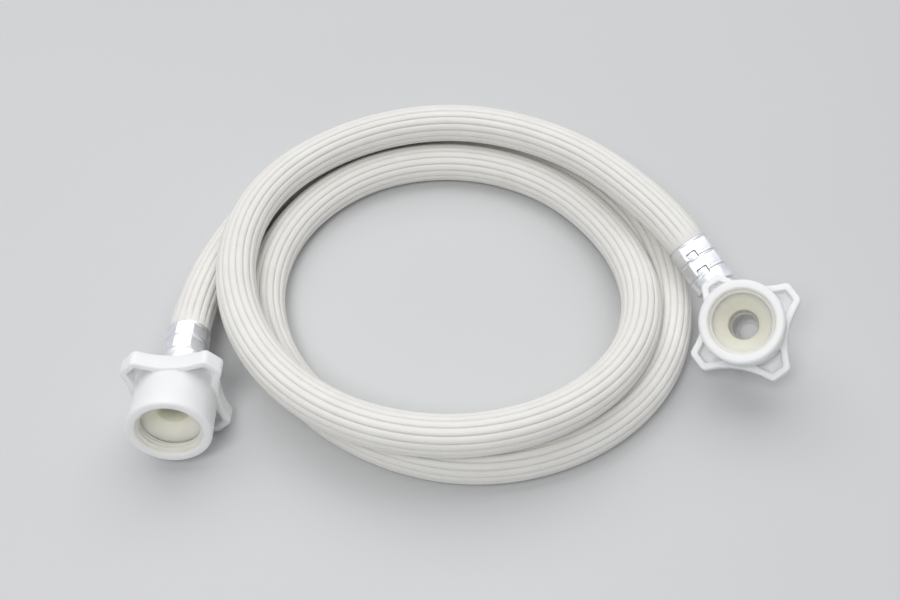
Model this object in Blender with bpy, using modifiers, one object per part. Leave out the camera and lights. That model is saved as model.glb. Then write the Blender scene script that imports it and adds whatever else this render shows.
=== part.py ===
"""Water inlet hose for a washing machine, lying in a loose coil.

A flexible hose of about 1.5 m with a straight swivel nut on the tap end and an
elbow with a swivel nut on the machine end. Units are metres, +Z is up, and the
hose lies on z = 0. The centre of the whole part's box is above the origin.
"""
import math

import bmesh
import bpy
import numpy as np
from mathutils import Matrix, Vector

MM = 0.001

# Hose
HOSE_OD = 17.5 * MM            # outside diameter
HOSE_WALL = 3.0 * MM           # wall thickness
HOSE_SQUEEZE = 0.75 * MM       # how far a crimp presses the hose's skin in
HOSE_POINTS_PER_TURN = 28     # points of the tube in one turn of the coil
HOSE_LEAD = 2.0 * MM           # half the length over which the hose narrows into a crimp

GROUND_GAP = 0.05 * MM         # daylight under the turns that lie on the ground

# The coil's own centre, seen from the centre of the part's box.
COIL_X = -0.6 * MM
COIL_Y = -10.0 * MM

# Route of the hose round the coil's centre, from the machine end to the tap
# end: degrees turned, distance from the centre, lift off the ground. Millimetres.
ROUTE = (
    (30, 87.0, 25.5), (60, 91.5, 19.0), (90, 98.0, 16.5), (120, 101.5, 16.0),
    (150, 103.0, 17.0), (180, 99.5, 18.0), (210, 95.0, 16.5), (240, 90.5, 17.5),
    (270, 87.0, 19.0), (300, 84.0, 18.5), (330, 80.0, 14.5), (360, 76.0, 9.0),
    (390, 76.5, 3.0), (420, 82.0, 0.5), (450, 88.0, 0.0), (480, 91.5, 0.0),
    (510, 91.0, 0.0), (540, 88.5, 0.5), (570, 86.0, 0.5), (600, 85.0, 0.0),
    (630, 87.0, 0.0), (660, 89.0, 0.0), (690, 91.0, 0.0), (720, 91.5, 0.0),
    (750, 95.0, 0.0), (780, 100.5, 0.0), (810, 107.0, 0.5), (840, 111.0, 0.5),
    (870, 111.0, 0.5),
)

# Clearances between pieces that meet
SEAT_GAP = 0.3 * MM            # between two pieces that touch
RUN_GAP = 0.3 * MM             # round a neck that a nut turns on

# Swivel nut, both ends alike. Heights are measured back from the nut's mouth.
COLLAR_MOUTH_R = 17.3 * MM     # outer radius of the collar at its mouth
COLLAR_DRAFT = 0.5 * MM        # how much thinner the collar is at the wings
RIM_ROUND = 0.8 * MM           # rounding of the collar's rim
THREAD_CREST_R = 12.1 * MM     # clear radius inside the G3/4 thread
THREAD_DEPTH = 5.9 * MM        # length of the threaded bore in front of the washer
LEAD_IN = 1.3 * MM             # chamfer at the mouth of the thread
SHOULDER_DEPTH = 22.0 * MM     # from the mouth to the inside of the back wall
BACK_WALL = 4.0 * MM           # thickness of the back wall
WING_DEPTH = 18.5 * MM         # from the mouth to the front of the wings
WING_REACH = 25.0 * MM         # from the axis to the flat end of a wing
WING_HALF = 4.6 * MM           # half the width of that flat end, corners unrounded
WING_WAIST = 17.7 * MM         # radius between two wings
WING_ROUND = 2.7 * MM          # rounding of a wing's corners
WING_EDGE = 0.5 * MM           # rounding of the wings' edges
WING_WALL = 2.4 * MM           # wall round the pocket in a wing
POCKET_FLOOR = 2.0 * MM        # floor left under that pocket
POCKET_STEP = 0.3 * MM         # ledge left at the collar's foot

# Washer, a thick rubber ring with a dished face
WASHER_R = 13.0 * MM
WASHER_HOLE_R = 6.25 * MM
WASHER_LAND = 0.6 * MM         # flat rim round the dish
WASHER_DISH = 4.6 * MM         # depth of the dish, from its rim to the hole's edge
RELIEF_R = WASHER_R + SEAT_GAP  # bore behind the thread, where the washer lies
RELIEF_STEP = 0.2 * MM         # slope of the step between thread and relief

# Stem and elbow, which share the flange and the barbed tail
FLANGE_R = 11.5 * MM
FLANGE_T = 2.6 * MM
NECK_R = 7.9 * MM
NECK_BORE_R = 5.3 * MM
STOP_T = 4.2 * MM              # end of the neck, whose shoulder the crimp sleeve meets
STOP_GROOVE = 0.4 * MM         # depth of the groove that sets the stop off from the neck
TAIL_FIT = 0.5 * MM            # between the barbs and the crimped hose's bore
TAIL_R = HOSE_OD / 2 - HOSE_SQUEEZE - HOSE_WALL - TAIL_FIT
TAIL_WALL = 1.3 * MM
TAIL_BORE_R = TAIL_R - TAIL_WALL
BARB = 0.5 * MM                # depth of a barb
BARB_COUNT = 5
NECK_LENGTH = 7.1 * MM         # straight stem, from the back wall's inside to the stop
ELBOW_DROP = 36.5 * MM         # from the mouth to the elbow's leg
ELBOW_LEG = 23.6 * MM          # from the elbow's riser axis to the end of its stop
BALL_R = NECK_R + 0.2 * MM     # round corner of the elbow, which the nut slides over

# Crimped sleeve
SLEEVE_LENGTH = 22.0 * MM
SLEEVE_WALL = 1.05 * MM        # at a crimp's corners
SLEEVE_LIP = 1.0 * MM          # thickness of the end that is turned in behind the stop
BAND_START = 0.8 * MM          # from the mouth to the first crimp
BAND_LENGTH = 6.6 * MM
BAND_RIDGE = 1.0 * MM          # ridge left between the two crimps
BAND_RUN = 0.5 * MM            # length over which a crimp fades out
CRIMP_FLAT = 0.7 * MM          # how far a crimp's flats lie under its corners
FLAT_CROWN = 0.12 * MM         # how far a flat bulges in its middle
RIDGE_DROP = 0.15 * MM         # how far the ridge lies under the corners
CRIMP_SIDES = 8
SLEEVE_FLARE = 0.5 * MM        # widening of the sleeve's bore at its mouth
TAIL_SHORT = 1.5 * MM          # the tail and the hose's end stop short by this much

# Where the two ends lie, from the coil's centre, and how they are turned
MACHINE_MOUTH_X = 110.7 * MM
MACHINE_MOUTH_Y = -42.8 * MM
MACHINE_MOUTH_Z = 44.3 * MM
MACHINE_RISE = 53.3            # degrees that the nut's mouth looks up
MACHINE_HEADING = 240.9        # its direction in plan
MACHINE_LEG = -123.0           # turn of the elbow's leg about the nut's axis
MACHINE_WINGS = 1.5            # turn of the wings from the leg
TAP_MOUTH_X = -117.9 * MM
TAP_MOUTH_Y = -82.8 * MM
TAP_MOUTH_Z = 23.5 * MM
TAP_RISE = 6.5
TAP_HEADING = 269.8
TAP_WINGS = 46.3

ROUND_STEPS = 36               # segments round a nut
SMALL_STEPS = 28               # segments round a stem, sleeve or washer


def start_scene():
    for ob in list(bpy.data.objects):
        bpy.data.objects.remove(ob, do_unlink=True)
    parts = bpy.data.collections.new("water_inlet_hose")
    tools = bpy.data.collections.new("cutters")
    bpy.context.scene.collection.children.link(parts)
    bpy.context.scene.collection.children.link(tools)
    return parts, tools


PARTS, CUTTERS = start_scene()


def material(name, color, roughness, metallic=0.0):
    mat = bpy.data.materials.new(name)
    mat.use_nodes = True
    shader = mat.node_tree.nodes["Principled BSDF"]
    shader.inputs["Base Color"].default_value = (*color, 1.0)
    shader.inputs["Roughness"].default_value = roughness
    shader.inputs["Metallic"].default_value = metallic
    mat.diffuse_color = (*color, 1.0)
    return mat


def place(ob, parent=None, location=(0, 0, 0), rotation=(0, 0, 0), mat=None):
    PARTS.objects.link(ob)
    ob.parent = parent
    ob.location = location
    ob.rotation_euler = rotation
    if mat is not None:
        ob.data.materials.append(mat)
    return ob


def as_cutter(ob, parent, location=(0, 0, 0), rotation=(0, 0, 0)):
    CUTTERS.objects.link(ob)
    ob.parent = parent
    ob.location = location
    ob.rotation_euler = rotation
    ob.hide_render = True
    ob.display_type = "WIRE"
    return ob


def end_frame(name, mouth, rise, heading, turn):
    """Empty at a nut's mouth: +Z out along the nut's axis, turned about it."""
    frame = bpy.data.objects.new(name, None)
    PARTS.objects.link(frame)
    frame.empty_display_size = 0.02
    spin = (Matrix.Rotation(math.radians(heading), 4, "Z")
            @ Matrix.Rotation(math.radians(90.0 - rise), 4, "Y")
            @ Matrix.Rotation(math.radians(turn), 4, "Z"))
    frame.matrix_world = Matrix.Translation(Vector(mouth) + Vector((COIL_X, COIL_Y, 0.0))) @ spin
    return frame


def turned(name, outline, steps, closed=True):
    """Turned solid from (radius, height) points that run down its outer side.

    A closed outline gives a ring. An open one starts and ends on the axis.
    """
    mesh = bpy.data.meshes.new(name)
    count = len(outline)
    edges = [(i, i + 1) for i in range(count - 1)]
    if closed:
        edges.append((count - 1, 0))
    mesh.from_pydata([(r, 0.0, z) for r, z in outline], edges, [])
    ob = bpy.data.objects.new(name, mesh)
    screw = ob.modifiers.new("Turn", "SCREW")
    screw.axis = "Z"
    screw.steps = steps
    screw.render_steps = steps
    screw.use_merge_vertices = True
    screw.merge_threshold = 0.00001
    screw.use_normal_calculate = False
    return ob


def smooth(ob, angle=35.0):
    ob.data.shade_smooth()
    ob.data.set_sharp_from_angle(angle=math.radians(angle))


def baked(ob, keep=False):
    """The object's evaluated mesh, with the loose caps of a curve welded."""
    depsgraph = bpy.context.evaluated_depsgraph_get()
    depsgraph.update()
    mesh = bpy.data.meshes.new_from_object(ob.evaluated_get(depsgraph))
    bm = bmesh.new()
    bm.from_mesh(mesh)
    bmesh.ops.remove_doubles(bm, verts=bm.verts, dist=0.000005)
    bm.to_mesh(mesh)
    bm.free()
    return mesh


def flat_solid(name, outlines, low, high, edge=0.0):
    """Flat outlines, extruded between two heights, with rounded edges."""
    curve = bpy.data.curves.new(name, "CURVE")
    curve.dimensions = "2D"
    curve.fill_mode = "BOTH"
    curve.extrude = (high - low) / 2 - edge
    if edge > 0.0:
        curve.bevel_depth = edge
        curve.bevel_resolution = 1
        curve.offset = -edge
    for outline in outlines:
        spline = curve.splines.new("POLY")
        spline.points.add(len(outline) - 1)
        for point, (x, y) in zip(spline.points, outline):
            point.co = (x, y, 0.0, 1.0)
        spline.use_cyclic_u = True
    source = bpy.data.objects.new(name + "_outline", curve)
    CUTTERS.objects.link(source)
    mesh = baked(source)
    mesh.name = name
    bpy.data.objects.remove(source, do_unlink=True)
    bpy.data.curves.remove(curve)
    mesh.transform(Matrix.Translation((0.0, 0.0, (high + low) / 2)))
    return bpy.data.objects.new(name, mesh)


def cut(ob, other, operation="DIFFERENCE"):
    step = ob.modifiers.new(other.name, "BOOLEAN")
    step.operation = operation
    step.solver = "EXACT"
    step.object = other


# Wings of the nut. Between two wings runs one arc, whose centre lies out on the
# line halfway between them.
ARC_OUT = ((WING_REACH ** 2 + WING_HALF ** 2 - WING_WAIST ** 2)
           / (math.sqrt(2) * (WING_REACH + WING_HALF) - 2 * WING_WAIST))
ARC_R = ARC_OUT - WING_WAIST
ARC_CENTRE = Vector((ARC_OUT, ARC_OUT)) / math.sqrt(2)


def arc(centre, radius, start, end, steps):
    return [(centre[0] + radius * math.cos(start + (end - start) * i / steps),
             centre[1] + radius * math.sin(start + (end - start) * i / steps))
            for i in range(steps + 1)]


def wing_corner(inset):
    """Centre and radius of the rounded corner, and where it meets the arc."""
    fillet = max(WING_ROUND - inset, 0.5 * MM)
    x = WING_REACH - inset - fillet
    out = ARC_R + inset + fillet
    y = ARC_CENTRE.y - math.sqrt(out ** 2 - (ARC_CENTRE.x - x) ** 2)
    to_arc = math.atan2(ARC_CENTRE.y - y, ARC_CENTRE.x - x)
    return Vector((x, y)), fillet, to_arc


def mirrored(half):
    return [(x, -y) for x, y in reversed(half)] + half


def turned_about(points, quarter):
    c, s = math.cos(quarter * math.pi / 2), math.sin(quarter * math.pi / 2)
    return [(x * c - y * s, x * s + y * c) for x, y in points]


def wing_outline():
    corner, fillet, to_arc = wing_corner(0.0)
    half = arc(corner, fillet, 0.0, to_arc, 4)
    from_arc = to_arc + math.pi
    half += arc(ARC_CENTRE, ARC_R, from_arc, math.radians(225.0), 4)[1:]
    quarter = mirrored(half)
    outline = []
    for k in range(4):
        outline += turned_about(quarter[:-1], k)
    return outline


def pocket_outline(inner_r):
    """Pocket in a wing, from the collar's foot out to the walls."""
    corner, fillet, to_arc = wing_corner(WING_WALL)
    radius = ARC_R + WING_WALL
    along = (ARC_OUT ** 2 + inner_r ** 2 - radius ** 2) / (2 * ARC_OUT)
    foot = math.radians(45.0) - math.acos(along / inner_r)
    meet = Vector((inner_r * math.cos(foot), inner_r * math.sin(foot)))
    from_arc = math.atan2(meet.y - ARC_CENTRE.y, meet.x - ARC_CENTRE.x) % (2 * math.pi)
    half = arc(corner, fillet, 0.0, to_arc, 3)
    half += arc(ARC_CENTRE, radius, to_arc + math.pi, from_arc, 3)[1:]
    inner = arc((0.0, 0.0), inner_r, foot, -foot, 4)[1:-1]
    return [(x, -y) for x, y in reversed(half)] + half + inner


def make_nut(name, parent, turn, mat):
    back = -(SHOULDER_DEPTH + BACK_WALL)
    foot_r = COLLAR_MOUTH_R - COLLAR_DRAFT
    waist_z = -(WING_DEPTH + SHOULDER_DEPTH + BACK_WALL) / 2
    rim = [(COLLAR_MOUTH_R - RIM_ROUND * (1 - math.sin(a)), -RIM_ROUND * (1 - math.cos(a)))
           for a in (math.radians(d) for d in (0, 30, 60, 90))]
    collar = turned(name, [(0.0, 0.0)] + rim + [(foot_r, -WING_DEPTH), (foot_r, waist_z),
                                                 (0.0, waist_z)], ROUND_STEPS, closed=False)
    place(collar, parent, rotation=(0.0, 0.0, turn), mat=mat)

    wings = flat_solid(name + "_wings", [wing_outline()], back, -WING_DEPTH, WING_EDGE)
    cut(collar, as_cutter(wings, parent, rotation=(0.0, 0.0, turn)), "UNION")

    pockets = flat_solid(name + "_pockets",
                         [turned_about(pocket_outline(foot_r + POCKET_STEP), k)
                          for k in range(4)],
                         back + POCKET_FLOOR, -WING_DEPTH + 1.0 * MM)
    cut(collar, as_cutter(pockets, parent, rotation=(0.0, 0.0, turn)))

    over = 1.0 * MM
    hole_r = NECK_R + RUN_GAP
    bore = turned(name + "_bore", [
        (0.0, over), (THREAD_CREST_R + LEAD_IN + over, over),
        (THREAD_CREST_R, -LEAD_IN), (THREAD_CREST_R, -THREAD_DEPTH),
        (RELIEF_R, -THREAD_DEPTH - RELIEF_STEP), (RELIEF_R, -SHOULDER_DEPTH),
        (hole_r, -SHOULDER_DEPTH), (hole_r, back - over), (0.0, back - over)],
        ROUND_STEPS, closed=False)
    cut(collar, as_cutter(bore, parent, rotation=(0.0, 0.0, turn)))
    smooth(collar)
    return collar


def make_washer(name, parent, mat):
    """Dished ring between the flange inside the nut and the end of the thread."""
    low = -SHOULDER_DEPTH + SEAT_GAP + FLANGE_T + SEAT_GAP
    high = -THREAD_DEPTH - RELIEF_STEP - SEAT_GAP
    ease = 0.2 * MM
    foot = 0.6 * MM
    ring = turned(name, [(WASHER_HOLE_R, high - WASHER_DISH), (WASHER_R - WASHER_LAND, high),
                         (WASHER_R - ease, high), (WASHER_R, high - ease),
                         (WASHER_R, low + foot), (WASHER_R - foot, low), (WASHER_HOLE_R, low)],
                  SMALL_STEPS)
    place(ring, parent, mat=mat)
    smooth(ring)
    return ring


def flange_outline():
    """Outer side of the flange and the neck's start, from the flange's face."""
    face = -SHOULDER_DEPTH + SEAT_GAP + FLANGE_T
    ease = 0.5 * MM
    return [(FLANGE_R - ease, face), (FLANGE_R, face - ease),
            (FLANGE_R, face - FLANGE_T), (NECK_R, face - FLANGE_T)], face


def tail_outline(stop_front, end):
    """Outer side of the neck's stop and the barbs, down to the tail's end."""
    stop_back = stop_front - STOP_T
    ease = 0.5 * MM
    groove_r = NECK_R - STOP_GROOVE
    points = [(NECK_R, stop_front + 2 * STOP_GROOVE), (groove_r, stop_front + STOP_GROOVE),
              (NECK_R, stop_front), (NECK_R, stop_back + ease), (NECK_R - ease, stop_back),
              (TAIL_R - BARB, stop_back)]
    start = stop_back - 2.0 * MM
    pitch = (start - end) / BARB_COUNT
    for k in range(BARB_COUNT):
        top = start - k * pitch
        points += [(TAIL_R - BARB, top), (TAIL_R, top - 0.2 * MM)]
    points.append((TAIL_R - BARB, end))
    return points


def make_stem(name, parent, mat):
    rim, face = flange_outline()
    stop_front = -SHOULDER_DEPTH - NECK_LENGTH
    stop_back = stop_front - STOP_T
    end = stop_back - SEAT_GAP - SLEEVE_LENGTH + TAIL_SHORT
    step_top = stop_front
    step_end = step_top - (NECK_BORE_R - TAIL_BORE_R)
    outline = rim + tail_outline(stop_front, end)
    outline += [(TAIL_BORE_R, end), (TAIL_BORE_R, step_end), (NECK_BORE_R, step_top),
                (NECK_BORE_R, face)]
    stem = turned(name, outline, SMALL_STEPS)
    place(stem, parent, mat=mat)
    smooth(stem)
    return stem, stop_back - SEAT_GAP - SLEEVE_LENGTH


def make_elbow(name, parent, mat):
    """Riser with the flange, a round corner and a leg with the barbed tail."""
    rim, face = flange_outline()
    riser = turned(name, [(0.0, face)] + rim + [(NECK_R, -ELBOW_DROP), (0.0, -ELBOW_DROP)],
                   SMALL_STEPS, closed=False)
    place(riser, parent, mat=mat)

    ball = bpy.data.meshes.new(name + "_corner")
    bm = bmesh.new()
    bmesh.ops.create_uvsphere(bm, u_segments=SMALL_STEPS, v_segments=16, radius=BALL_R)
    bm.to_mesh(ball)
    bm.free()
    corner = bpy.data.objects.new(name + "_corner", ball)
    cut(riser, as_cutter(corner, parent, location=(0.0, 0.0, -ELBOW_DROP)), "UNION")

    along_x = (0.0, math.radians(-90.0), 0.0)
    at_corner = (0.0, 0.0, -ELBOW_DROP)
    end = -ELBOW_LEG - SEAT_GAP - SLEEVE_LENGTH + TAIL_SHORT
    outline = tail_outline(-ELBOW_LEG + STOP_T, end)
    leg = turned(name + "_leg", [(0.0, 0.0), (NECK_R, 0.0)] + outline + [(0.0, end)],
                 SMALL_STEPS, closed=False)
    cut(riser, as_cutter(leg, parent, at_corner, along_x), "UNION")

    over = 1.0 * MM
    floor = -ELBOW_DROP - TAIL_BORE_R - 0.5 * MM
    down = turned(name + "_down", [(0.0, face + over), (NECK_BORE_R, face + over),
                                   (NECK_BORE_R, floor + 1.5 * MM), (NECK_BORE_R - 1.5 * MM, floor),
                                   (0.0, floor)], SMALL_STEPS, closed=False)
    cut(riser, as_cutter(down, parent))
    through = turned(name + "_through", [(0.0, 0.0), (TAIL_BORE_R, 0.0), (TAIL_BORE_R, end - over),
                                         (0.0, end - over)], SMALL_STEPS, closed=False)
    cut(riser, as_cutter(through, parent, at_corner, along_x))
    smooth(riser)
    return riser


def make_sleeve(name, parent, location, rotation, mat):
    """Crimped sleeve, a loft from round sections to eight flats and back.

    z = 0 is the mouth that the hose goes into, and +Z points to the fitting,
    where the sleeve's end is turned in behind the stop.
    """
    bore_r = HOSE_OD / 2 - HOSE_SQUEEZE + SEAT_GAP
    outer_r = bore_r + SLEEVE_WALL
    ridge_r = outer_r - RIDGE_DROP
    flat = (outer_r - CRIMP_FLAT) / outer_r
    lip_r = TAIL_R + SEAT_GAP
    # height, radius, how far the section is pressed to flats
    stations = [(0.0, ridge_r, 0.0)]
    for k in range(2):
        low = BAND_START + k * (BAND_LENGTH + BAND_RIDGE)
        high = low + BAND_LENGTH
        stations += [(low, ridge_r, 0.0), (low + BAND_RUN, outer_r, 1.0),
                     (high - BAND_RUN, outer_r, 1.0), (high, ridge_r, 0.0)]
    stations += [(SLEEVE_LENGTH - 2 * RIDGE_DROP, ridge_r, 0.0),
                 (SLEEVE_LENGTH, ridge_r - 2 * RIDGE_DROP, 0.0)]
    count = CRIMP_SIDES * 4

    def ring(radius, pressed, z):
        points = []
        for i in range(count):
            a = 2 * math.pi * i / count
            half = math.pi / CRIMP_SIDES
            off = (a + half) % (2 * half) - half
            octagon = radius * flat / math.cos(off) + FLAT_CROWN * (1 - (off / half) ** 2)
            r = radius + (min(octagon, radius) - radius) * pressed
            points.append((r * math.cos(a), r * math.sin(a), z))
        return points

    sections = [ring(r, pressed, z) for z, r, pressed in stations]
    lip_z = SLEEVE_LENGTH - SLEEVE_LIP
    inside = [(lip_r, SLEEVE_LENGTH), (lip_r, lip_z), (bore_r, lip_z),
              (bore_r, 2 * HOSE_LEAD), (bore_r + SLEEVE_FLARE, 0.0)]
    sections += [ring(r, 0.0, z) for r, z in inside]
    bm = bmesh.new()
    rings = [[bm.verts.new(p) for p in section] for section in sections]
    for k, low in enumerate(rings):
        high = rings[(k + 1) % len(rings)]
        for i in range(count):
            j = (i + 1) % count
            bm.faces.new((low[i], low[j], high[j], high[i]))
    mesh = bpy.data.meshes.new(name)
    bm.to_mesh(mesh)
    bm.free()
    sleeve = place(bpy.data.objects.new(name, mesh), parent, location, rotation, mat)
    smooth(sleeve, 20.0)
    return sleeve


def smooth_route(points, start_dir, end_dir):
    """Dense points of the cubic curve through the points, with set end tangents."""
    p = np.array([tuple(v) for v in points])
    d = np.linalg.norm(np.diff(p, axis=0), axis=1)
    s = np.concatenate([[0.0], np.cumsum(d)])
    n = len(p)
    a = np.zeros((n, n))
    b = np.zeros((n, 3))
    a[0, 0] = a[-1, -1] = 1.0
    b[0], b[-1] = start_dir, end_dir
    for i in range(1, n - 1):
        a[i, i - 1], a[i, i], a[i, i + 1] = d[i], 2 * (d[i - 1] + d[i]), d[i - 1]
        b[i] = 3 * (d[i] * (p[i] - p[i - 1]) / d[i - 1] + d[i - 1] * (p[i + 1] - p[i]) / d[i])
    m = np.linalg.solve(a, b)
    dense = []
    for i in range(n - 1):
        t = np.linspace(0.0, 1.0, 60, endpoint=False)[:, None]
        dense.append((2 * t ** 3 - 3 * t ** 2 + 1) * p[i] + (t ** 3 - 2 * t ** 2 + t) * d[i] * m[i]
                     + (3 * t ** 2 - 2 * t ** 3) * p[i + 1] + (t ** 3 - t ** 2) * d[i] * m[i + 1])
    dense.append(p[-1:])
    return np.concatenate(dense)


def hose_points(machine, machine_x, tap, tap_z):
    """Centre line of the hose with its radius factor, from end to end."""
    centre = Vector((COIL_X, COIL_Y, 0.0))
    machine_out = (machine.matrix_world.to_3x3() @ Vector((1.0, 0.0, 0.0))).normalized()
    tap_in = (tap.matrix_world.to_3x3() @ Vector((0.0, 0.0, 1.0))).normalized()
    first = machine.matrix_world @ Vector((machine_x, 0.0, -ELBOW_DROP))
    last = tap.matrix_world @ Vector((0.0, 0.0, tap_z))
    route = [first]
    for degrees, radius, lift in ROUTE:
        a = math.radians(degrees)
        route.append(centre + Vector((radius * MM * math.cos(a), radius * MM * math.sin(a),
                                      lift * MM + HOSE_OD / 2 + GROUND_GAP)))
    route.append(last)
    dense = smooth_route(route, machine_out, tap_in)
    angle = np.degrees(np.unwrap(np.arctan2(dense[:, 1] - COIL_Y, dense[:, 0] - COIL_X)))
    step = 360.0 / HOSE_POINTS_PER_TURN
    wanted = np.arange(math.ceil(angle[0] / step + 0.5), angle[-1] / step - 0.3) * step
    middle = [Vector([np.interp(w, angle, dense[:, k]) for k in range(3)]) for w in wanted]

    tight = (HOSE_OD / 2 - HOSE_SQUEEZE) / (HOSE_OD / 2)
    inside = SLEEVE_LENGTH - TAIL_SHORT
    points = [(first - machine_out * inside, tight), (first - machine_out * HOSE_LEAD, tight),
              (first, (1.0 + tight) / 2), (first + machine_out * HOSE_LEAD, 1.0)]
    points += [(p, 1.0) for p in middle]
    points += [(last - tap_in * HOSE_LEAD, 1.0), (last, (1.0 + tight) / 2),
               (last + tap_in * HOSE_LEAD, tight), (last + tap_in * inside, tight)]
    return points


def make_hose(name, points, mat):
    curve = bpy.data.curves.new(name, "CURVE")
    curve.dimensions = "3D"
    curve.twist_mode = "Z_UP"
    curve.bevel_depth = HOSE_OD / 2
    curve.bevel_resolution = 4
    curve.use_fill_caps = False
    spline = curve.splines.new("POLY")
    spline.points.add(len(points) - 1)
    for point, (co, factor) in zip(spline.points, points):
        point.co = (*co, 1.0)
        point.radius = factor
    source = bpy.data.objects.new(name + "_line", curve)
    CUTTERS.objects.link(source)
    mesh = baked(source)
    mesh.name = name
    bpy.data.objects.remove(source, do_unlink=True)
    bpy.data.curves.remove(curve)
    hose = place(bpy.data.objects.new(name, mesh), mat=mat)
    wall = hose.modifiers.new("Wall", "SOLIDIFY")
    wall.thickness = HOSE_WALL
    wall.offset = -1.0
    wall.use_rim = True
    wall.use_even_offset = True
    smooth(hose, 40.0)
    return hose


def build():
    white = (0.82, 0.82, 0.80)
    alloy = (0.62, 0.63, 0.64)
    machine = end_frame("machine_end", (MACHINE_MOUTH_X, MACHINE_MOUTH_Y, MACHINE_MOUTH_Z),
                        MACHINE_RISE, MACHINE_HEADING, MACHINE_LEG)
    tap = end_frame("tap_end", (TAP_MOUTH_X, TAP_MOUTH_Y, TAP_MOUTH_Z),
                    TAP_RISE, TAP_HEADING, 0.0)

    make_nut("tap_nut", tap, math.radians(TAP_WINGS), material("tap_nut", white, 0.35))
    make_nut("machine_nut", machine, math.radians(MACHINE_WINGS),
             material("machine_nut", white, 0.35))
    rubber = (0.80, 0.77, 0.66)
    make_washer("tap_washer", tap, material("tap_washer", rubber, 0.7))
    make_washer("machine_washer", machine, material("machine_washer", rubber, 0.7))

    milky = (0.78, 0.78, 0.76)
    _, tap_z = make_stem("tap_stem", tap, material("tap_stem", milky, 0.45))
    make_elbow("machine_elbow", machine, material("machine_elbow", milky, 0.45))
    machine_x = ELBOW_LEG + SEAT_GAP + SLEEVE_LENGTH

    make_sleeve("tap_ferrule", tap, (0.0, 0.0, tap_z), (0.0, 0.0, 0.0),
                material("tap_ferrule", alloy, 0.32, 1.0))
    make_sleeve("machine_ferrule", machine, (machine_x, 0.0, -ELBOW_DROP),
                (0.0, math.radians(-90.0), 0.0), material("machine_ferrule", alloy, 0.32, 1.0))
    bpy.context.view_layer.update()
    make_hose("hose", hose_points(machine, machine_x, tap, tap_z),
              material("hose", (0.80, 0.79, 0.76), 0.55))
    bpy.context.view_layer.update()


build()
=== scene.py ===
import math

import bmesh
import bpy
import numpy as np
from mathutils import Matrix, Vector


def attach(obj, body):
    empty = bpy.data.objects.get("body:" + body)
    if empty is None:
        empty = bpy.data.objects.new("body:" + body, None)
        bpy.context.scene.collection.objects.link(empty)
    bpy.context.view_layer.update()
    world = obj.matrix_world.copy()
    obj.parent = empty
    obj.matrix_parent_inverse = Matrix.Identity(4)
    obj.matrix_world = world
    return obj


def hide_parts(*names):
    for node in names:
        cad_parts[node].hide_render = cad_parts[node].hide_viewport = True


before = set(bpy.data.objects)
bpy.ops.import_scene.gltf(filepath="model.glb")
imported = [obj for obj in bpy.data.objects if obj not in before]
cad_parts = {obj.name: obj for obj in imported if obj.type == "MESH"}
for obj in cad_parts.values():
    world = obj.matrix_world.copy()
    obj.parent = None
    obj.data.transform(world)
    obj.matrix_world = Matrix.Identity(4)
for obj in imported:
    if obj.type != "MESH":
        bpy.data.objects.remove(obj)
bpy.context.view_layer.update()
MM = 0.001
COIL = np.array((-0.6, -10.0, 0.0)) * MM   # centre of the coil
FIT = 0.3 * MM                             # gap between the fitting's stop and its sleeve


# Where the two ends lie

def end_matrix(mouth, rise, heading, turn):
    """Frame of an end: origin at the nut's mouth, +Z out along its axis."""
    return (Matrix.Translation(Vector(mouth) * MM + Vector(COIL))
            @ Matrix.Rotation(math.radians(heading), 4, "Z")
            @ Matrix.Rotation(math.radians(90.0 - rise), 4, "Y")
            @ Matrix.Rotation(math.radians(turn), 4, "Z"))


MACHINE = end_matrix((110.7, -42.8, 44.3), 53.3, 240.9, -123.0)
TAP = end_matrix((-117.9, -82.8, 23.5), 6.5, 269.8, 0.0)
ELBOW_DROP = 36.5 * MM
ELBOW_LEG = 23.6 * MM
SHOULDER = 22.0 * MM     # from a nut's mouth to the flange's seat
NECK = 7.1 * MM
STOP = 4.2 * MM
SLEEVE = 22.0 * MM
SLEEVE_X = ELBOW_LEG + FIT + SLEEVE                  # sleeve's mouth, from the elbow's axis
SLEEVE_Z = -(SHOULDER + NECK + STOP + FIT) - SLEEVE  # sleeve's mouth, from the tap nut's mouth
MACHINE_SLEEVE = (MACHINE @ Matrix.Translation((SLEEVE_X, 0.0, -ELBOW_DROP))
                  @ Matrix.Rotation(math.radians(-90.0), 4, "Y"))
TAP_SLEEVE = TAP @ Matrix.Translation((0.0, 0.0, SLEEVE_Z))
MACHINE_WINGS, TAP_WINGS = 1.5, 46.3      # degrees that each nut's wings are turned by
MACHINE_FLATS, TAP_FLATS = 6.0, 180.0     # and each sleeve's flats


def camera():
    """Camera at the photograph's view."""
    data = bpy.data.cameras.new("camera")
    data.lens = 54.0
    data.sensor_width = 36.0
    data.sensor_fit = "HORIZONTAL"
    data.clip_start = 0.01
    ob = bpy.data.objects.new("camera", data)
    ob.location = Vector((-6.658, -393.173, 460.491)) * MM + Vector(COIL)
    ob.rotation_euler = (math.radians(41.0), 0.0, 0.0)
    bpy.context.scene.collection.objects.link(ob)
    bpy.context.scene.camera = ob


# Mesh helpers

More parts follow.
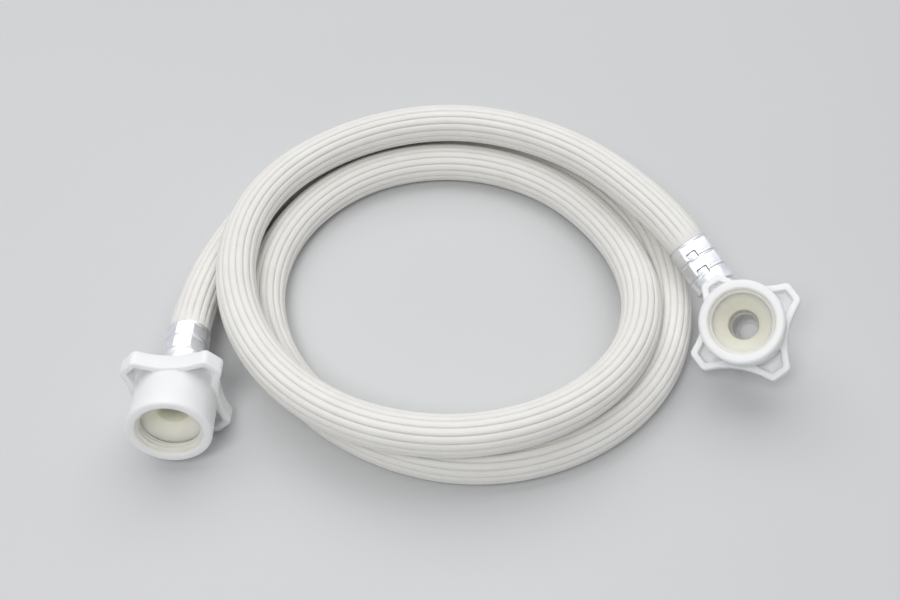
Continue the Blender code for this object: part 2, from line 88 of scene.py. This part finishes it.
def grid(name, rings, loop=False, matrix=None, uv=None):
    """Mesh from rings of equal length: rings[i, j] is a point. Rings are closed."""
    rings = np.asarray(rings, dtype=float)
    n, m = rings.shape[:2]
    verts = rings.reshape(-1, 3)
    if matrix is not None:
        mat = np.array(matrix)
        verts = verts @ mat[:3, :3].T + mat[:3, 3]
    rows = n if loop else n - 1
    i = np.repeat(np.arange(rows), m)
    j = np.tile(np.arange(m), rows)
    k, l = (i + 1) % n, (j + 1) % m
    faces = np.stack([i * m + j, i * m + l, k * m + l, k * m + j], axis=1)
    mesh = bpy.data.meshes.new(name)
    mesh.vertices.add(len(verts))
    mesh.vertices.foreach_set("co", verts.ravel())
    mesh.loops.add(faces.size)
    mesh.loops.foreach_set("vertex_index", faces.ravel().astype(np.int32))
    mesh.polygons.add(len(faces))
    mesh.polygons.foreach_set("loop_start", (np.arange(len(faces)) * 4).astype(np.int32))
    mesh.update(calc_edges=True)
    if uv is not None:
        layer = mesh.uv_layers.new(name="along")
        u, v = uv
        wrap = (j + 1) / m
        uu = np.stack([j / m, wrap, wrap, j / m], axis=1)
        vv = np.stack([v[i], v[i], v[k], v[k]], axis=1)
        layer.data.foreach_set("uv", np.stack([uu * u, vv], axis=2).ravel())
    bm = bmesh.new()
    bm.from_mesh(mesh)
    bmesh.ops.recalc_face_normals(bm, faces=bm.faces)
    if bm.calc_volume(signed=True) < 0:
        bmesh.ops.reverse_faces(bm, faces=bm.faces)
    bm.to_mesh(mesh)
    bm.free()
    mesh.shade_smooth()
    ob = bpy.data.objects.new(name, mesh)
    bpy.context.scene.collection.objects.link(ob)
    return ob


def mark(ob, name, values):
    """Stores one value per point, for the material to read."""
    layer = ob.data.attributes.new(name, "FLOAT", "POINT")
    layer.data.foreach_set("value", np.asarray(values, dtype=np.float32).ravel())


def smoothstep(x):
    """Smooth rise from 0 to 1."""
    x = np.clip(x, 0.0, 1.0)
    return x * x * (3 - 2 * x)


def turned(name, profile, matrix, steps):
    """Closed ring turned from (radius, height) points."""
    a = np.linspace(0, 2 * math.pi, steps, endpoint=False)
    rings = [np.stack([r * np.cos(a), r * np.sin(a), np.full(steps, z)], axis=1)
             for r, z in profile]
    return grid(name, rings, loop=True, matrix=matrix)


def rounded(points, radius, steps=4):
    """Closed outline with its corners rounded."""
    out = []
    n = len(points)
    for i in range(n):
        p = Vector(points[i])
        a = Vector(points[i - 1]) - p
        b = Vector(points[(i + 1) % n]) - p
        r = min(radius, 0.45 * a.length, 0.45 * b.length)
        start, end = p + a.normalized() * r, p + b.normalized() * r
        for k in range(steps + 1):
            t = k / steps
            out.append(tuple((1 - t) ** 2 * start + 2 * t * (1 - t) * p + t ** 2 * end))
    return out


# Hose

HOSE_R = 8.75 * MM
HOSE_WALL = 3.0 * MM
GROOVE = 0.72 * MM       # depth of the grooves between the ribs
SQUEEZE = 0.75 * MM      # how far a sleeve presses the hose in
LIFT = 0.05 * MM         # gap under the lowest turn
RINGS, RIBS = 561, 16
INNER_STEP = 8           # every eighth ring has one on the inner wall
TURNS = 2.44
RIB_ANGLE, RIB_DRIFT, RIB_ZERO = 7.3, 3.0, 260.0   # ribs' angle, and its change over a turn

# angle round the coil, distance from its centre and height above the ground
ROUTE = (
    (30, 87.0, 25.5), (60, 91.5, 19.0), (90, 98.0, 16.5), (120, 101.5, 16.0),
    (150, 103.0, 17.0), (180, 99.5, 18.0), (210, 95.0, 16.5), (240, 90.5, 17.5),
    (270, 87.0, 19.0), (300, 84.0, 18.5), (330, 80.0, 14.5), (360, 76.0, 9.0),
    (390, 76.5, 3.0), (420, 82.0, 0.5), (450, 88.0, 0.0), (480, 91.5, 0.0),
    (510, 91.0, 0.0), (540, 88.5, 0.5), (570, 86.0, 0.5), (600, 85.0, 0.0),
    (630, 87.0, 0.0), (660, 89.0, 0.0), (690, 91.0, 0.0), (720, 91.5, 0.0),
    (750, 95.0, 0.0), (780, 100.5, 0.0), (810, 107.0, 0.5), (840, 111.0, 0.5),
    (870, 111.0, 0.5),
)


def cubic(points, start_dir, end_dir, per=60):
    """Dense points of the cubic curve through the points, with set end tangents."""
    p = np.array(points)
    d = np.linalg.norm(np.diff(p, axis=0), axis=1)
    n = len(p)
    a = np.zeros((n, n))
    b = np.zeros((n, 3))
    a[0, 0] = a[-1, -1] = 1.0
    b[0], b[-1] = start_dir, end_dir
    for i in range(1, n - 1):
        a[i, i - 1], a[i, i], a[i, i + 1] = d[i], 2 * (d[i - 1] + d[i]), d[i - 1]
        b[i] = 3 * (d[i] * (p[i] - p[i - 1]) / d[i - 1] + d[i - 1] * (p[i + 1] - p[i]) / d[i])
    m = np.linalg.solve(a, b)
    out = []
    for i in range(n - 1):
        t = np.linspace(0.0, 1.0, per, endpoint=False)[:, None]
        out.append((2 * t ** 3 - 3 * t ** 2 + 1) * p[i] + (t ** 3 - 2 * t ** 2 + t) * d[i] * m[i]
                   + (3 * t ** 2 - 2 * t ** 3) * p[i + 1] + (t ** 3 - t ** 2) * d[i] * m[i + 1])
    out.append(p[-1:])
    return np.concatenate(out)


def unit(v):
    """Vectors scaled to length 1."""
    return v / np.linalg.norm(v, axis=-1, keepdims=True)


def hose_line(count):
    """Even points along the hose's centre line, and how far each lies from the mouths."""
    first = np.array(MACHINE_SLEEVE.translation)
    last = np.array(TAP_SLEEVE.translation)
    out_dir = np.array((MACHINE.to_3x3() @ Vector((1, 0, 0))).normalized())
    in_dir = np.array((TAP.to_3x3() @ Vector((0, 0, 1))).normalized())
    a = np.radians([r[0] for r in ROUTE])
    rad = np.array([r[1] for r in ROUTE]) * MM
    lift = np.array([r[2] for r in ROUTE]) * MM
    mid = np.stack([rad * np.cos(a), rad * np.sin(a), lift + HOSE_R + LIFT], axis=1) + COIL
    dense = cubic(np.vstack([first, mid, last]), out_dir, in_dir)
    inside = SLEEVE - 1.5 * MM
    dense = np.vstack([first - out_dir * inside, dense, last + in_dir * inside])
    s = np.concatenate([[0], np.cumsum(np.linalg.norm(np.diff(dense, axis=0), axis=1))])
    want = np.linspace(0, s[-1], count)
    line = np.stack([np.interp(want, s, dense[:, k]) for k in range(3)], axis=1)
    free = np.minimum(want - inside, s[-1] - inside - want)
    return line, want, free


def make_hose():
    """Ribbed tube along the line, with its open bore."""
    line, along, free = hose_line(RINGS)
    tangent = unit(np.gradient(line, axis=0))
    side = unit(np.cross(tangent, (0.0, 0.0, 1.0)))
    up = np.cross(side, tangent)
    # around each rib, close together near the groove; a rib's section is an arc
    cell = np.array((0.0, 0.05, 0.13, 0.28, 0.5, 0.72, 0.87, 0.95))
    phi = ((np.arange(RIBS)[:, None] + cell[None, :]) * 2 * math.pi / RIBS).ravel()
    shape = np.tile(1.0 - np.sqrt(1.0 - (2.0 * cell - 1.0) ** 2), RIBS)
    turn = np.degrees(along / along[-1] * TURNS * 2 * math.pi)
    phase = np.radians(RIB_ANGLE + (turn - RIB_ZERO) / 360.0 * RIB_DRIFT)
    squeeze = SQUEEZE * smoothstep((2.5 * MM - free) / (5.0 * MM))
    groove = GROOVE * smoothstep((free - 1.0 * MM) / (5.0 * MM))
    ang = phi[None, :] + phase[:, None]
    r = HOSE_R - squeeze[:, None] - groove[:, None] * shape[None, :]
    outer = (line[:, None, :] + r[..., None] * (np.cos(ang)[..., None] * side[:, None, :]
                                                + np.sin(ang)[..., None] * up[:, None, :]))
    pick = np.arange(0, RINGS, INNER_STEP)[::-1]
    ri = (HOSE_R - squeeze - HOSE_WALL)[pick]
    inner = (line[pick][:, None, :]
             + ri[:, None, None] * (np.cos(ang[pick])[..., None] * side[pick][:, None, :]
                                    + np.sin(ang[pick])[..., None] * up[pick][:, None, :]))
    rings = np.concatenate([outer, inner])
    length = np.concatenate([along, along[pick]])
    ob = grid("hose_skin", rings, loop=True, uv=(2 * math.pi * HOSE_R, length))
    ob.data.set_sharp_from_angle(angle=math.radians(75))
    # painted shade in the grooves between the ribs, fading out towards the sleeves; none on the
    # inner wall
    depth = np.concatenate([np.tile(shape, (RINGS, 1)) * groove[:, None] / GROOVE,
                            np.zeros((len(pick), RIBS * len(cell)))])
    mark(ob, "painted_shade", depth)
    return ob, line


# Nuts and washers

# outline of the wings: reach, half width of the flat end, narrowest radius, corner
REACH, HALF, WAIST, ROUND = 25.0 * MM, 4.6 * MM, 17.7 * MM, 2.7 * MM
ARC_OUT = (REACH ** 2 + HALF ** 2 - WAIST ** 2) / (math.sqrt(2) * (REACH + HALF) - 2 * WAIST)
ARC_R = ARC_OUT - WAIST
ARC_C = ARC_OUT / math.sqrt(2)
# heights below the mouth, and radii of the pockets, the bore and the neck's hole
BACK, FRONT, FLOOR, SEAT = -26.0 * MM, -18.5 * MM, -24.0 * MM, -22.0 * MM
WALL, POCKET_ROUND = 2.8 * MM, 1.2 * MM
FOOT_R, STEP_R = 16.8 * MM, 17.1 * MM
COLLAR_R, DRAFT, COLLAR_LENGTH = 17.3, 0.5, 18.5   # in millimetres
RIM_R, BORE_R, RELIEF_R, NECK_R = 17.28 * MM, 13.25 * MM, 13.2 * MM, 8.2 * MM
RIM_ROUND, MOUTH_ROUND = 1.3 * MM, 1.2 * MM
THREAD_PITCH, THREAD_HEIGHT, THREAD_END = 1.814 * MM, 1.1 * MM, -6.1 * MM
THREAD_ROOT_R = 13.22 * MM


def outline_radius(u, inset, softest=0.3 * MM):
    """Distance from the axis to the wings' outline at angle u from a wing's middle."""
    fillet = max(ROUND - inset, softest)
    x = REACH - inset - fillet
    out = ARC_R + inset + fillet
    y = ARC_C - math.sqrt(out ** 2 - (ARC_C - x) ** 2)
    to_arc = math.atan2(ARC_C - y, ARC_C - x)
    a = np.linspace(0.0, to_arc, 24)
    b = np.linspace(to_arc + math.pi, math.radians(225), 80)
    px = np.concatenate([[REACH - inset, REACH - inset], x + fillet * np.cos(a),
                         ARC_C + (ARC_R + inset) * np.cos(b)])
    py = np.concatenate([[0.0, y * 0.5], y + fillet * np.sin(a),
                         ARC_C + (ARC_R + inset) * np.sin(b)])
    return np.interp(u, np.arctan2(py, px), np.hypot(px, py))


def nut_rings(count=288):
    """Rings of the nut from its back wall round the outside and down the bore.

    Each point also gets a tint, which says how far its colour goes to the painted colour of the
    bore: painted shade with the cream of light reflected from the washer.
    """
    a = np.linspace(0, 2 * math.pi, count, endpoint=False)
    u = np.abs((a + math.pi / 4) % (math.pi / 2) - math.pi / 4)
    full = np.ones(count)
    loops, bore_painted_light = [], []

    def add(r, z, tint=0.0):
        loops.append((r * full, z * full))
        bore_painted_light.append(tint * full)

    # hole in the back wall, and the back face
    add(NECK_R, SEAT - 0.3 * MM)
    add(NECK_R, BACK + 0.4 * MM)
    add(NECK_R + 0.15 * MM, BACK + 0.1 * MM)
    for r in (8.7, 12.0, 15.5):
        add(r * MM, BACK)
    # rounded back edge, outer side and rounded front edge of the wings
    edge = 0.9 * MM
    for t in np.radians((0, 22, 45, 67, 90)):
        add(outline_radius(u, edge * (1 - math.sin(t))), BACK + edge * (1 - math.cos(t)))
    add(outline_radius(u, 0.0), (BACK + FRONT) / 2)
    brim = 0.5 * MM
    for t in np.radians((90, 67, 45, 22, 0)):
        add(outline_radius(u, brim * (1 - math.sin(t))), FRONT - brim * (1 - math.cos(t)))
    # pocket: its outer wall, rounded at the top and at the floor
    pocket = outline_radius(u, WALL, POCKET_ROUND)
    foot = u[pocket > STEP_R].max()
    pocket = np.maximum(pocket, STEP_R)
    deep = smoothstep((foot - u) / math.radians(2.6))
    shallow = 0.02 * MM * (1.0 - deep)     # keeps the rings apart where there is no pocket
    width = np.maximum(pocket - FOOT_R, 0.0)
    room = outline_radius(u, brim) - pocket
    lip = np.clip(0.8 * room, 0.02 * MM, 0.75 * MM)
    for t in np.radians((0, 30, 60, 90)):
        add(pocket + lip * (1 - math.sin(t)), FRONT - lip * deep * (1 - math.cos(t)))
    fill = np.minimum(POCKET_ROUND, width * 0.45)
    depth = (FLOOR - FRONT) * deep
    add(pocket - shallow, FRONT + depth * 0.6)
    for t in np.radians((90, 60, 30, 0)):
        add(pocket - 2 * shallow - (fill - 2 * shallow) * (1 - math.sin(t)),
            FRONT + depth + fill * deep * (1 - math.cos(t)))
    for t in np.radians((0, 30, 60, 90)):
        add(FOOT_R + 0.9 * fill * (1 - math.sin(t)),
            FRONT + depth + 0.9 * fill * (1 - math.cos(t)))
    # collar and its rounded rim
    for z in (-17.6, -15.0, -10.0, -5.0, -2.4):
        add((COLLAR_R + DRAFT * z / COLLAR_LENGTH) * MM, z * MM)
    for t in np.radians((90, 74, 58, 42, 26, 12, 0)):
        add((RIM_R - RIM_ROUND) + RIM_ROUND * math.sin(t), -RIM_ROUND * (1 - math.cos(t)))
    # painted shade and painted reflected cream light begin on the mouth's rounding
    for t, tint in zip(np.radians((0, 15, 30, 45, 60, 75)), (0.0, 0.0, 0.4, 0.6, 0.6, 0.6)):
        add(BORE_R + MOUTH_ROUND * (1 - math.sin(t)), -MOUTH_ROUND * (1 - math.cos(t)), tint)
    # thread, with painted shade darker in its roots than on its crests, and the plain bore behind
    # it, all with painted shade and painted cream light reflected from the washer
    for z in np.arange(-1.2, -6.05, -0.14) * MM:
        turn = (z / THREAD_PITCH + a / (2 * math.pi)) % 1.0
        ridge = smoothstep((0.5 - np.abs(turn - 0.5)) / 0.5 * 1.3 - 0.15)
        fade = smoothstep((-0.9 * MM - z) / (1.6 * MM)) * smoothstep((z - THREAD_END) / (0.5 * MM))
        add(THREAD_ROOT_R - THREAD_HEIGHT * ridge * fade, z, 1.0 - 0.55 * ridge * fade)
    for r, z in ((RELIEF_R, THREAD_END - 0.1 * MM), (RELIEF_R, -14.0 * MM),
                 (RELIEF_R, SEAT + 0.4 * MM), (RELIEF_R - 0.1 * MM, SEAT + 0.1 * MM),
                 (RELIEF_R - 0.5 * MM, SEAT), (NECK_R + 0.3 * MM, SEAT)):
        add(r, z, 0.6)
    rings = [np.stack([r * np.cos(a), r * np.sin(a), z], axis=1) for r, z in loops]
    return np.array(rings), np.array(bore_painted_light)


def make_nut(name, matrix, wings):
    """Swivel nut with its wings turned by so many degrees."""
    spin = matrix @ Matrix.Rotation(math.radians(wings), 4, "Z")
    rings, bore_painted_light = nut_rings()
    ob = grid(name, rings, loop=True, matrix=spin)
    ob.data.set_sharp_from_angle(angle=math.radians(60))
    # painted shade and painted reflected light in the bore
    mark(ob, "bore", bore_painted_light)
    return ob


def make_washer(name, matrix):
    """Thick ring with a dished face, from the flange up to the end of the thread."""
    edge, hole = 13.1, 6.25                  # radii
    low, high, dish = -18.8, -6.4, -11.0     # heights below the mouth
    face = [(12.2, high), (10.4, high - 1.15), (8.4, high - 2.9), (7.1, dish + 0.45),
            (hole, dish)]
    corners = [(edge, high), *face, (hole, low), (12.5, low), (edge, low + 0.6)]
    outline = [(r * MM, z * MM) for r, z in reversed(corners)]
    return turned(name, rounded(outline, 0.5 * MM), matrix, 160)


# Crimped sleeves, in millimetres, from the mouth that the hose goes into

SLEEVE_R, FLAT_R, CORNER_R = 9.18, 8.74, 9.33
INSIDE_R, HOLE_R, END_T = 8.3, 4.8, 1.0
FLATS = 8
BANDS = ((0.6, 7.6), (8.2, 15.2))
CREASES, CREASE_DEPTH = (7.9, 15.5), 0.42
TAIL_AT = 16.2
# height, angle, half the length, half the width and depth of each pressed dent
DENTS = ((6.5, 6.0, 1.7, 2.2, 0.58), (14.8, 6.0, 1.8, 2.4, 0.6))


def make_sleeve(name, matrix, turn, dents=(), wave=0.0):
    """Sleeve with its mouth at z = 0 and +Z to the fitting.

    It has two crimped bands with pressed flats, turned by so many degrees, and a
    rounder end. The wave makes its mouth uneven.
    """
    steps, length = 240, SLEEVE / MM
    a = np.linspace(0, 2 * math.pi, steps, endpoint=False)
    half = math.pi / FLATS
    off = (a - math.radians(turn) + half) % (2 * half) - half
    rings, marks = [], []
    for z in np.concatenate([np.linspace(0.0, 0.6, 5), np.linspace(0.75, length - 0.75, 130),
                             np.linspace(length - 0.6, length, 5)]):
        r = np.full(steps, SLEEVE_R)
        for low, high in BANDS:
            t = np.clip((z - low) / (high - low), 0.0, 1.0)
            press = smoothstep((z - low) / 0.8) * smoothstep((high - z) / 0.8)
            pillow = 0.28 * (2 * t - 1) ** 4
            flat = (FLAT_R - pillow) / np.cos(off) - 0.10 * (off / half) ** 2
            r = r + (np.minimum(flat, CORNER_R - pillow) - r) * press
        crease = max(math.exp(-((z - at) / 0.32) ** 2) for at in CREASES)
        r = r - CREASE_DEPTH * crease
        tail = smoothstep((z - TAIL_AT) / 1.5)
        r = r + tail * (0.09 * np.cos(FLATS * off) * np.cos((z - 18.5) * 0.9) - 0.05)
        end = 0.3 * (1 - math.sqrt(max(0.0, 1 - (1 - min(z, length - z, 0.6) / 0.6) ** 2)))
        r = (r - end) * MM
        # painted shade in the creases and along the mouth's edge
        shade = np.full(steps, max(0.4 * crease, 0.5 * smoothstep((0.7 - z) / 0.5)))
        for at, angle, half_z, half_a, depth in dents:
            da = (a - math.radians(angle) + math.pi) % (2 * math.pi) - math.pi
            across = np.abs(da) * 9.2 / half_a
            press = (smoothstep((1.2 - across) / 0.3)
                     * smoothstep((z - at + 1.2 * half_z) / 1.1)
                     * smoothstep((at + 1.2 * half_z - z) / 0.5))
            r = r - depth * MM * press
            # painted shade on the dents' sloping walls, standing in for walls that face away from
            # the light
            shade = np.maximum(shade, 4.0 * press * (1.0 - press))
        marks.append(shade)
        shift = wave * max(0.0, 1.0 - z / 3.0) * (np.cos(2 * a + 0.8) + 0.6 * np.cos(5 * a))
        rings.append(np.stack([r * np.cos(a), r * np.sin(a), (z + shift) * MM], axis=1))
    lip = length - END_T
    for r, z in ((HOLE_R, length), (HOLE_R, lip), (INSIDE_R, lip), (INSIDE_R, 12.0),
                 (INSIDE_R, 4.0), (8.8, 0.2), (8.95, 0.05)):
        rings.append(np.stack([r * MM * np.cos(a), r * MM * np.sin(a),
                               np.full(steps, z * MM)], axis=1))
        marks.append(np.zeros(steps))
    ob = grid(name, rings, loop=True, matrix=matrix)
    ob.data.set_sharp_from_angle(angle=math.radians(50))
    mark(ob, "painted_shade", marks)
    return ob


# Materials

class Nodes:
    """Small helper that adds nodes to a material and joins them."""

    def __init__(self, name):
        self.mat = bpy.data.materials.new(name)
        self.mat.use_nodes = True
        self.tree = self.mat.node_tree
        self.shader = self.tree.nodes["Principled BSDF"]

    def add(self, kind, **settings):
        """New node, with its inputs or its own settings filled in."""
        node = self.tree.nodes.new(kind)
        for key, value in settings.items():
            if key in node.inputs:
                node.inputs[key].default_value = value
            else:
                setattr(node, key, value)
        return node

    def noise(self, coords, out, **settings):
        node = self.add("ShaderNodeTexNoise", **settings)
        self.join(coords, out, node, "Vector")
        return node

    def join(self, a, out, b, into):
        """Link from output out of node a to input into of node b."""
        self.tree.links.new(a.outputs[out], b.inputs[into])

    def set(self, **values):
        """Inputs of the shader, with _ in their names for a space."""
        for key, value in values.items():
            self.shader.inputs[key.replace("_", " ")].default_value = value

    def ramp(self, source, out, stops):
        node = self.add("ShaderNodeValToRGB")
        elements = node.color_ramp.elements
        while len(elements) < len(stops):
            elements.new(0.5)
        for element, (position, color) in zip(elements, stops):
            element.position = position
            element.color = (*color, 1.0)
        self.join(source, out, node, "Fac")
        return node

    def darken(self, source, out, name, shade, most):
        """Base colour goes towards the given colour where the points are marked, which paints
        shade or reflected light into it.
        """
        marked = self.add("ShaderNodeAttribute", attribute_name=name)
        amount = self.add("ShaderNodeMath", operation="MULTIPLY")
        amount.inputs[1].default_value = most
        self.join(marked, "Fac", amount, 0)
        mix = self.add("ShaderNodeMix", data_type="RGBA")
        mix.inputs[7].default_value = (*shade, 1.0)
        self.join(amount, "Value", mix, 0)
        self.join(source, out, mix, 6)
        self.join(mix, 2, self.shader, "Base Color")

    def bump(self, source, out, strength, distance, before=None):
        """Bump on the shader, on top of the one before."""
        node = self.add("ShaderNodeBump", Strength=strength, Distance=distance)
        self.join(source, out, node, "Height")
        if before is not None:
            self.join(before, "Normal", node, "Normal")
        self.join(node, "Normal", self.shader, "Normal")
        return node


def hose_material():
    n = Nodes("hose_skin")
    coord = n.add("ShaderNodeTexCoord")
    streak_map = n.add("ShaderNodeMapping")
    streak_map.inputs["Scale"].default_value = (900.0, 45.0, 1.0)
    n.join(coord, "UV", streak_map, "Vector")
    streak = n.noise(streak_map, "Vector", Scale=1.0, Detail=3.0, Roughness=0.6)
    mottle = n.noise(coord, "Object", Scale=90.0, Detail=4.0, Roughness=0.65)
    fine = n.noise(coord, "Object", Scale=1400.0, Detail=3.0, Roughness=0.7)
    mix = n.add("ShaderNodeMath", operation="ADD")
    n.join(streak, "Fac", mix, 0)
    n.join(mottle, "Fac", mix, 1)
    half = n.add("ShaderNodeMath", operation="MULTIPLY")
    half.inputs[1].default_value = 0.5
    n.join(mix, "Value", half, 0)
    ramp = n.ramp(half, "Value", ((0.30, (0.81, 0.795, 0.76)), (0.52, (0.865, 0.85, 0.815)),
                                  (0.75, (0.90, 0.89, 0.86))))
    # painted shade: the rib grooves go towards a darker colour
    n.darken(ramp, "Color", "painted_shade", (0.58, 0.565, 0.53), 0.45)
    coarse = n.bump(streak, "Fac", 0.14, 0.0003)
    n.bump(fine, "Fac", 0.22, 0.00015, coarse)
    n.set(Roughness=0.62, Sheen_Weight=0.12, Sheen_Roughness=0.5,
          Subsurface_Weight=0.08, Subsurface_Radius=(1.0, 0.9, 0.75), Subsurface_Scale=0.001)
    return n.mat


def nut_material():
    n = Nodes("nut_nylon")
    coord = n.add("ShaderNodeTexCoord")
    soft = n.noise(coord, "Object", Scale=60.0, Detail=3.0)
    ramp = n.ramp(soft, "Fac", ((0.35, (0.87, 0.875, 0.88)), (0.65, (0.90, 0.905, 0.905))))
    # painted shade and painted cream reflection from the washer inside the bore, darkest in the
    # thread roots
    n.darken(ramp, "Color", "bore", (0.85, 0.832, 0.775), 1.0)
    n.bump(n.noise(coord, "Object", Scale=900.0, Detail=2.0), "Fac", 0.05, 0.0001)
    n.set(Roughness=0.42,
          Subsurface_Weight=0.75, Subsurface_Radius=(1.0, 0.97, 0.9), Subsurface_Scale=0.003)
    return n.mat


def washer_material():
    n = Nodes("washer_rubber")
    coord = n.add("ShaderNodeTexCoord")
    soft = n.noise(coord, "Object", Scale=220.0, Detail=4.0)
    ramp = n.ramp(soft, "Fac", ((0.3, (0.955, 0.908, 0.755)), (0.7, (0.97, 0.928, 0.795))))
    n.join(ramp, "Color", n.shader, "Base Color")
    n.bump(soft, "Fac", 0.15, 0.0001)
    n.set(Roughness=0.6,
          Subsurface_Weight=0.95, Subsurface_Radius=(1.0, 0.97, 0.84), Subsurface_Scale=0.006)
    return n.mat


def sleeve_material():
    n = Nodes("sleeve_aluminium")
    coord = n.add("ShaderNodeTexCoord")
    cloud = n.noise(coord, "Object", Scale=160.0, Detail=4.0, Roughness=0.6)
    rough = n.add("ShaderNodeMapRange")
    rough.inputs["To Min"].default_value = 0.30
    rough.inputs["To Max"].default_value = 0.46
    n.join(cloud, "Fac", rough, "Value")
    n.join(rough, "Result", n.shader, "Roughness")
    ramp = n.ramp(cloud, "Fac", ((0.3, (0.80, 0.81, 0.84)), (0.7, (0.89, 0.90, 0.92))))
    # painted shade in the creases, along the mouth and on the dents' walls
    n.darken(ramp, "Color", "painted_shade", (0.15, 0.16, 0.19), 0.8)
    n.bump(n.noise(coord, "Object", Scale=700.0, Detail=4.0), "Fac", 0.10, 0.0001)
    n.set(Metallic=1.0)
    return n.mat


def stem_material():
    n = Nodes("stem_plastic")
    coord = n.add("ShaderNodeTexCoord")
    soft = n.noise(coord, "Object", Scale=120.0, Detail=3.0)
    ramp = n.ramp(soft, "Fac", ((0.3, (0.92, 0.92, 0.915)), (0.7, (0.94, 0.94, 0.935))))
    n.join(ramp, "Color", n.shader, "Base Color")
    n.bump(soft, "Fac", 0.08, 0.0001)
    n.set(Roughness=0.45,
          Subsurface_Weight=1.0, Subsurface_Radius=(1.0, 0.98, 0.93), Subsurface_Scale=0.008)
    return n.mat


def floor_material():
    n = Nodes("floor")
    coord = n.add("ShaderNodeTexCoord")
    soft = n.noise(coord, "Object", Scale=3.0, Detail=2.0)
    ramp = n.ramp(soft, "Fac", ((0.3, (0.645, 0.65, 0.655)), (0.7, (0.665, 0.67, 0.675))))
    n.join(ramp, "Color", n.shader, "Base Color")
    n.set(Roughness=0.9)
    return n.mat


# Floor, lamps and surroundings

def stage():
    """Floor, two lamps and the world, under the Standard view."""
    bpy.ops.mesh.primitive_plane_add(size=6.0, location=(0.0, 0.0, -0.0002))
    floor = bpy.context.object
    floor.name = "floor"
    floor.data.materials.append(floor_material())

    def area(name, location, size, power, target=(0.0, 0.0, 0.0)):
        data = bpy.data.lights.new(name, "AREA")
        data.shape = "RECTANGLE"
        data.size, data.size_y = size
        data.energy = power
        ob = bpy.data.objects.new(name, data)
        ob.location = location
        ob.rotation_euler = (Vector(target) - Vector(location)).to_track_quat("-Z", "Y").to_euler()
        bpy.context.scene.collection.objects.link(ob)

    area("key", (-0.05, 0.48, 1.12), (1.8, 1.3), 10.8)
    area("fill", (-0.24, -0.70, 1.00), (0.4, 0.4), 5.0)
    # the world is dim on matt surfaces and bright in metal and to the camera
    world = bpy.data.worlds.new("studio")
    world.use_nodes = True
    tree = world.node_tree
    background = tree.nodes["Background"]
    background.inputs["Color"].default_value = (0.95, 0.97, 1.0, 1.0)
    path = tree.nodes.new("ShaderNodeLightPath")
    seen = tree.nodes.new("ShaderNodeMath")
    seen.operation = "MAXIMUM"
    tree.links.new(path.outputs["Is Camera Ray"], seen.inputs[0])
    tree.links.new(path.outputs["Is Glossy Ray"], seen.inputs[1])
    level = tree.nodes.new("ShaderNodeMapRange")
    level.inputs["To Min"].default_value = 0.285
    level.inputs["To Max"].default_value = 0.8
    tree.links.new(seen.outputs["Value"], level.inputs["Value"])
    tree.links.new(level.outputs["Result"], background.inputs["Strength"])
    bpy.context.scene.world = world
    bpy.context.scene.view_settings.view_transform = "Standard"


# The pieces, each on its body

def dress(ob, mat, body, slot, *nodes):
    """Gives a piece its material and its body, and hides the CAD nodes that it stands for."""
    ob.data.materials.clear()
    ob.data.materials.append(mat)
    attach(ob, body)
    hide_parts(*nodes)
    return ob


camera()
stage()

nylon, rubber, metal, stem = nut_material(), washer_material(), sleeve_material(), stem_material()

hose, hose_path = make_hose()
dress(hose, hose_material(), "hose_body", "hose", "hose")
tap_nut = dress(make_nut("tap_nut_body", TAP, TAP_WINGS), nylon, "tap_swivel", "nut", "tap_nut")
dress(make_nut("machine_nut_body", MACHINE, MACHINE_WINGS), nylon, "machine_swivel", "nut",
      "machine_nut")
tap_washer = dress(make_washer("tap_washer_ring", TAP), rubber, "tap_swivel", "washer",
                   "tap_washer")
dress(make_washer("machine_washer_ring", MACHINE), rubber, "machine_swivel", "washer",
      "machine_washer")
tap_sleeve = dress(make_sleeve("tap_sleeve", TAP_SLEEVE, TAP_FLATS, wave=0.3), metal,
                   "hose_body", "ferrule", "tap_ferrule")
dress(make_sleeve("machine_sleeve", MACHINE_SLEEVE, MACHINE_FLATS, DENTS, 0.15), metal,
      "hose_body", "ferrule", "machine_ferrule")
for node in ("tap_stem", "machine_elbow"):
    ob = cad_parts[node]
    if ob.material_slots:
        for slot in ob.material_slots:
            slot.material = stem
    else:
        ob.data.materials.append(stem)
